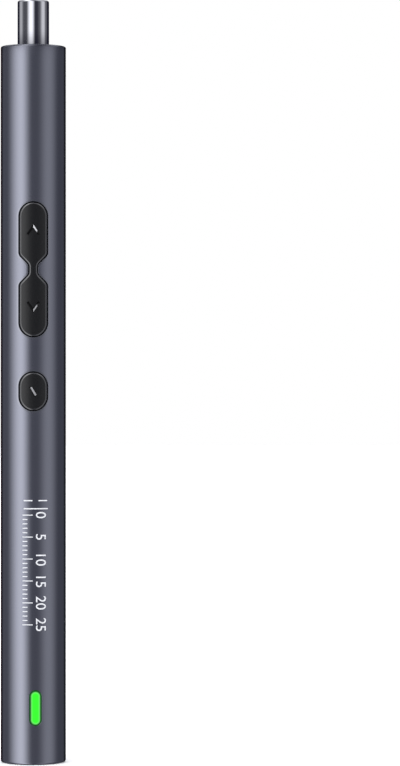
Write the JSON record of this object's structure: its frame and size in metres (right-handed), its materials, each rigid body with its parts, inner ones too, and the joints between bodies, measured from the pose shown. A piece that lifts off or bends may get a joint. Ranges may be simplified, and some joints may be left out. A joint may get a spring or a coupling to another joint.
{
  "type": "electric precision screwdriver",
  "caption": "Slim cylindrical cordless screwdriver: magnetic hexagonal bit socket, forward and reverse rocker keypad, mode key, lit status window and charging port in the tail.",
  "frame": {"origin": "middle of the tail end, on the plane of the body tube's tail rim", "axes": "+Z along the tool's axis from the tail to the bit socket; -Y is the side with the keys and the window; +X to the right of someone who looks at the keys with the bit socket up"},
  "size_m": [0.015, 0.0152, 0.175],
  "materials": {
    "anodised_body": "anodised, satin",
    "nose_steel": "polished",
    "key_plastic": "fine matte",
    "tail_plastic": "fine matte",
    "window_plastic": "clear, lit green",
    "socket_steel": "nickel plated",
    "socket_plastic": "matte",
    "contact_gold": "plated",
    "bronze": "sintered",
    "plain_steel": "turned",
    "black_steel": "blackened",
    "gear_steel": "sintered, oiled",
    "magnet": "plated",
    "copper": "enamelled",
    "board_green": "solder mask",
    "chip_black": "moulded",
    "led_resin": "clear resin",
    "chassis_plastic": "moulded",
    "cell_sleeve": "printed sleeve over the can",
    "tab_nickel": "rolled strip",
    "ribbon_film": "polyimide film",
    "stem_plastic": "moulded",
    "motor_steel": "zinc plated",
    "motor_plastic": "moulded",
    "lead_sleeve": "insulated wire"
  },
  "bodies": {
    "shell": {"body_tube": "anodised_body", "front_cap": "anodised_body", "tail_cap": "tail_plastic", "spindle_bush": "bronze", "thrust_washer": "plain_steel", "key_bridge": "key_plastic", "light_guide": "window_plastic", "usb_shell": "socket_steel", "usb_tongue": "socket_plastic", "usb_contacts": "contact_gold", "charge_board": "board_green", "charge_parts": "chip_black", "status_led": "led_resin", "chassis": "chassis_plastic", "battery_cover": "chassis_plastic", "battery_cell": "cell_sleeve", "battery_tabs": "tab_nickel", "link_ribbon": "ribbon_film", "control_board": "board_green", "control_parts": "chip_black", "switch_bodies": "plain_steel", "board_screws": "plain_steel", "motor_can": "motor_steel", "motor_end_cap": "motor_plastic", "motor_magnets": "magnet", "motor_brushes": "copper", "motor_bushes": "bronze", "motor_leads": "lead_sleeve", "gearbox_plate": "plain_steel", "motor_screws": "black_steel", "ring_gear": "gear_steel"},
    "forward_key": {"forward_key": "key_plastic"},
    "reverse_key": {"reverse_key": "key_plastic"},
    "mode_key": {"mode_key": "key_plastic"},
    "forward_stem": {"forward_stem": "stem_plastic"},
    "reverse_stem": {"reverse_stem": "stem_plastic"},
    "mode_stem": {"mode_stem": "stem_plastic"},
    "spindle": {"bit_socket": "nose_steel", "socket_magnet": "magnet", "retaining_clip": "black_steel", "output_carrier": "plain_steel", "output_pins": "plain_steel"},
    "stage_2_carrier": {"carrier_2": "gear_steel", "carrier_2_pins": "plain_steel"},
    "stage_1_carrier": {"carrier_1": "gear_steel", "carrier_1_pins": "plain_steel"},
    "rotor": {"motor_shaft": "plain_steel", "armature": "plain_steel", "windings": "copper", "commutator": "copper", "motor_pinion": "gear_steel"},
    "planet_1a": {"planet_1a": "gear_steel"},
    "planet_1b": {"planet_1b": "gear_steel"},
    "planet_1c": {"planet_1c": "gear_steel"},
    "planet_2a": {"planet_2a": "gear_steel"},
    "planet_2b": {"planet_2b": "gear_steel"},
    "planet_2c": {"planet_2c": "gear_steel"},
    "planet_3a": {"planet_3a": "gear_steel"},
    "planet_3b": {"planet_3b": "gear_steel"},
    "planet_3c": {"planet_3c": "gear_steel"}
  },
  "joints": [
    {"name": "spindle_spin", "type": "hinge", "parent": "shell", "child": "spindle", "pos_m": [0, 0, 0.16], "axis": [0, 0, 1], "continuous": true},
    {"name": "carrier_2_spin", "type": "hinge", "parent": "shell", "child": "stage_2_carrier", "pos_m": [0, 0, 0.155], "axis": [0, 0, 1], "continuous": true},
    {"name": "carrier_1_spin", "type": "hinge", "parent": "shell", "child": "stage_1_carrier", "pos_m": [0, 0, 0.152], "axis": [0, 0, 1], "continuous": true},
    {"name": "rotor_spin", "type": "hinge", "parent": "shell", "child": "rotor", "pos_m": [0, 0, 0.14], "axis": [0, 0, 1], "continuous": true},
    {"name": "planet_3a_spin", "type": "hinge", "parent": "spindle", "child": "planet_3a", "pos_m": [0.0036, 0, 0.157], "axis": [0, 0, 1], "continuous": true},
    {"name": "planet_3b_spin", "type": "hinge", "parent": "spindle", "child": "planet_3b", "pos_m": [-0.0018, 0.00312, 0.157], "axis": [0, 0, 1], "continuous": true},
    {"name": "planet_3c_spin", "type": "hinge", "parent": "spindle", "child": "planet_3c", "pos_m": [-0.0018, -0.00312, 0.157], "axis": [0, 0, 1], "continuous": true},
    {"name": "planet_2a_spin", "type": "hinge", "parent": "stage_2_carrier", "child": "planet_2a", "pos_m": [0.0036, 0, 0.1534], "axis": [0, 0, 1], "continuous": true},
    {"name": "planet_2b_spin", "type": "hinge", "parent": "stage_2_carrier", "child": "planet_2b", "pos_m": [-0.0018, 0.00312, 0.1534], "axis": [0, 0, 1], "continuous": true},
    {"name": "planet_2c_spin", "type": "hinge", "parent": "stage_2_carrier", "child": "planet_2c", "pos_m": [-0.0018, -0.00312, 0.1534], "axis": [0, 0, 1], "continuous": true},
    {"name": "planet_1a_spin", "type": "hinge", "parent": "stage_1_carrier", "child": "planet_1a", "pos_m": [0.0036, 0, 0.15], "axis": [0, 0, 1], "continuous": true},
    {"name": "planet_1b_spin", "type": "hinge", "parent": "stage_1_carrier", "child": "planet_1b", "pos_m": [-0.0018, 0.00312, 0.15], "axis": [0, 0, 1], "continuous": true},
    {"name": "planet_1c_spin", "type": "hinge", "parent": "stage_1_carrier", "child": "planet_1c", "pos_m": [-0.0018, -0.00312, 0.15], "axis": [0, 0, 1], "continuous": true},
    {"name": "forward_key_press", "type": "hinge", "parent": "shell", "child": "forward_key", "pos_m": [0, -0.0065, 0.114], "axis": [-1, 0, 0], "range_deg": [0, 2], "stiffness_Nm_per_rad": 0.42},
    {"name": "reverse_key_press", "type": "hinge", "parent": "shell", "child": "reverse_key", "pos_m": [0, -0.0065, 0.112], "axis": [1, 0, 0], "range_deg": [0, 2], "stiffness_Nm_per_rad": 0.42},
    {"name": "mode_key_press", "type": "slide", "parent": "shell", "child": "mode_key", "axis": [0, 1, 0], "range_m": [0, 0.00025], "stiffness_N_per_m": 1500},
    {"name": "forward_stem_slide", "type": "slide", "parent": "shell", "child": "forward_stem", "axis": [0, 1, 0], "range_m": [0, 0.0003]},
    {"name": "reverse_stem_slide", "type": "slide", "parent": "shell", "child": "reverse_stem", "axis": [0, 1, 0], "range_m": [0, 0.0003]},
    {"name": "mode_stem_slide", "type": "slide", "parent": "shell", "child": "mode_stem", "axis": [0, 1, 0], "range_m": [0, 0.0003]}
  ],
  "couplings": [
    {"joint": "carrier_2_spin", "follows": "spindle_spin", "ratio": 4},
    {"joint": "carrier_1_spin", "follows": "spindle_spin", "ratio": 16},
    {"joint": "rotor_spin", "follows": "spindle_spin", "ratio": 64},
    {"joint": "planet_3a_spin", "follows": "spindle_spin", "ratio": -3},
    {"joint": "planet_3b_spin", "follows": "spindle_spin", "ratio": -3},
    {"joint": "planet_3c_spin", "follows": "spindle_spin", "ratio": -3},
    {"joint": "planet_2a_spin", "follows": "spindle_spin", "ratio": -12},
    {"joint": "planet_2b_spin", "follows": "spindle_spin", "ratio": -12},
    {"joint": "planet_2c_spin", "follows": "spindle_spin", "ratio": -12},
    {"joint": "planet_1a_spin", "follows": "spindle_spin", "ratio": -48},
    {"joint": "planet_1b_spin", "follows": "spindle_spin", "ratio": -48},
    {"joint": "planet_1c_spin", "follows": "spindle_spin", "ratio": -48},
    {"joint": "forward_stem_slide", "follows": "forward_key_press", "m_per_rad": 0.0078},
    {"joint": "reverse_stem_slide", "follows": "reverse_key_press", "m_per_rad": 0.0078},
    {"joint": "mode_stem_slide", "follows": "mode_key_press", "ratio": 1}
  ]
}
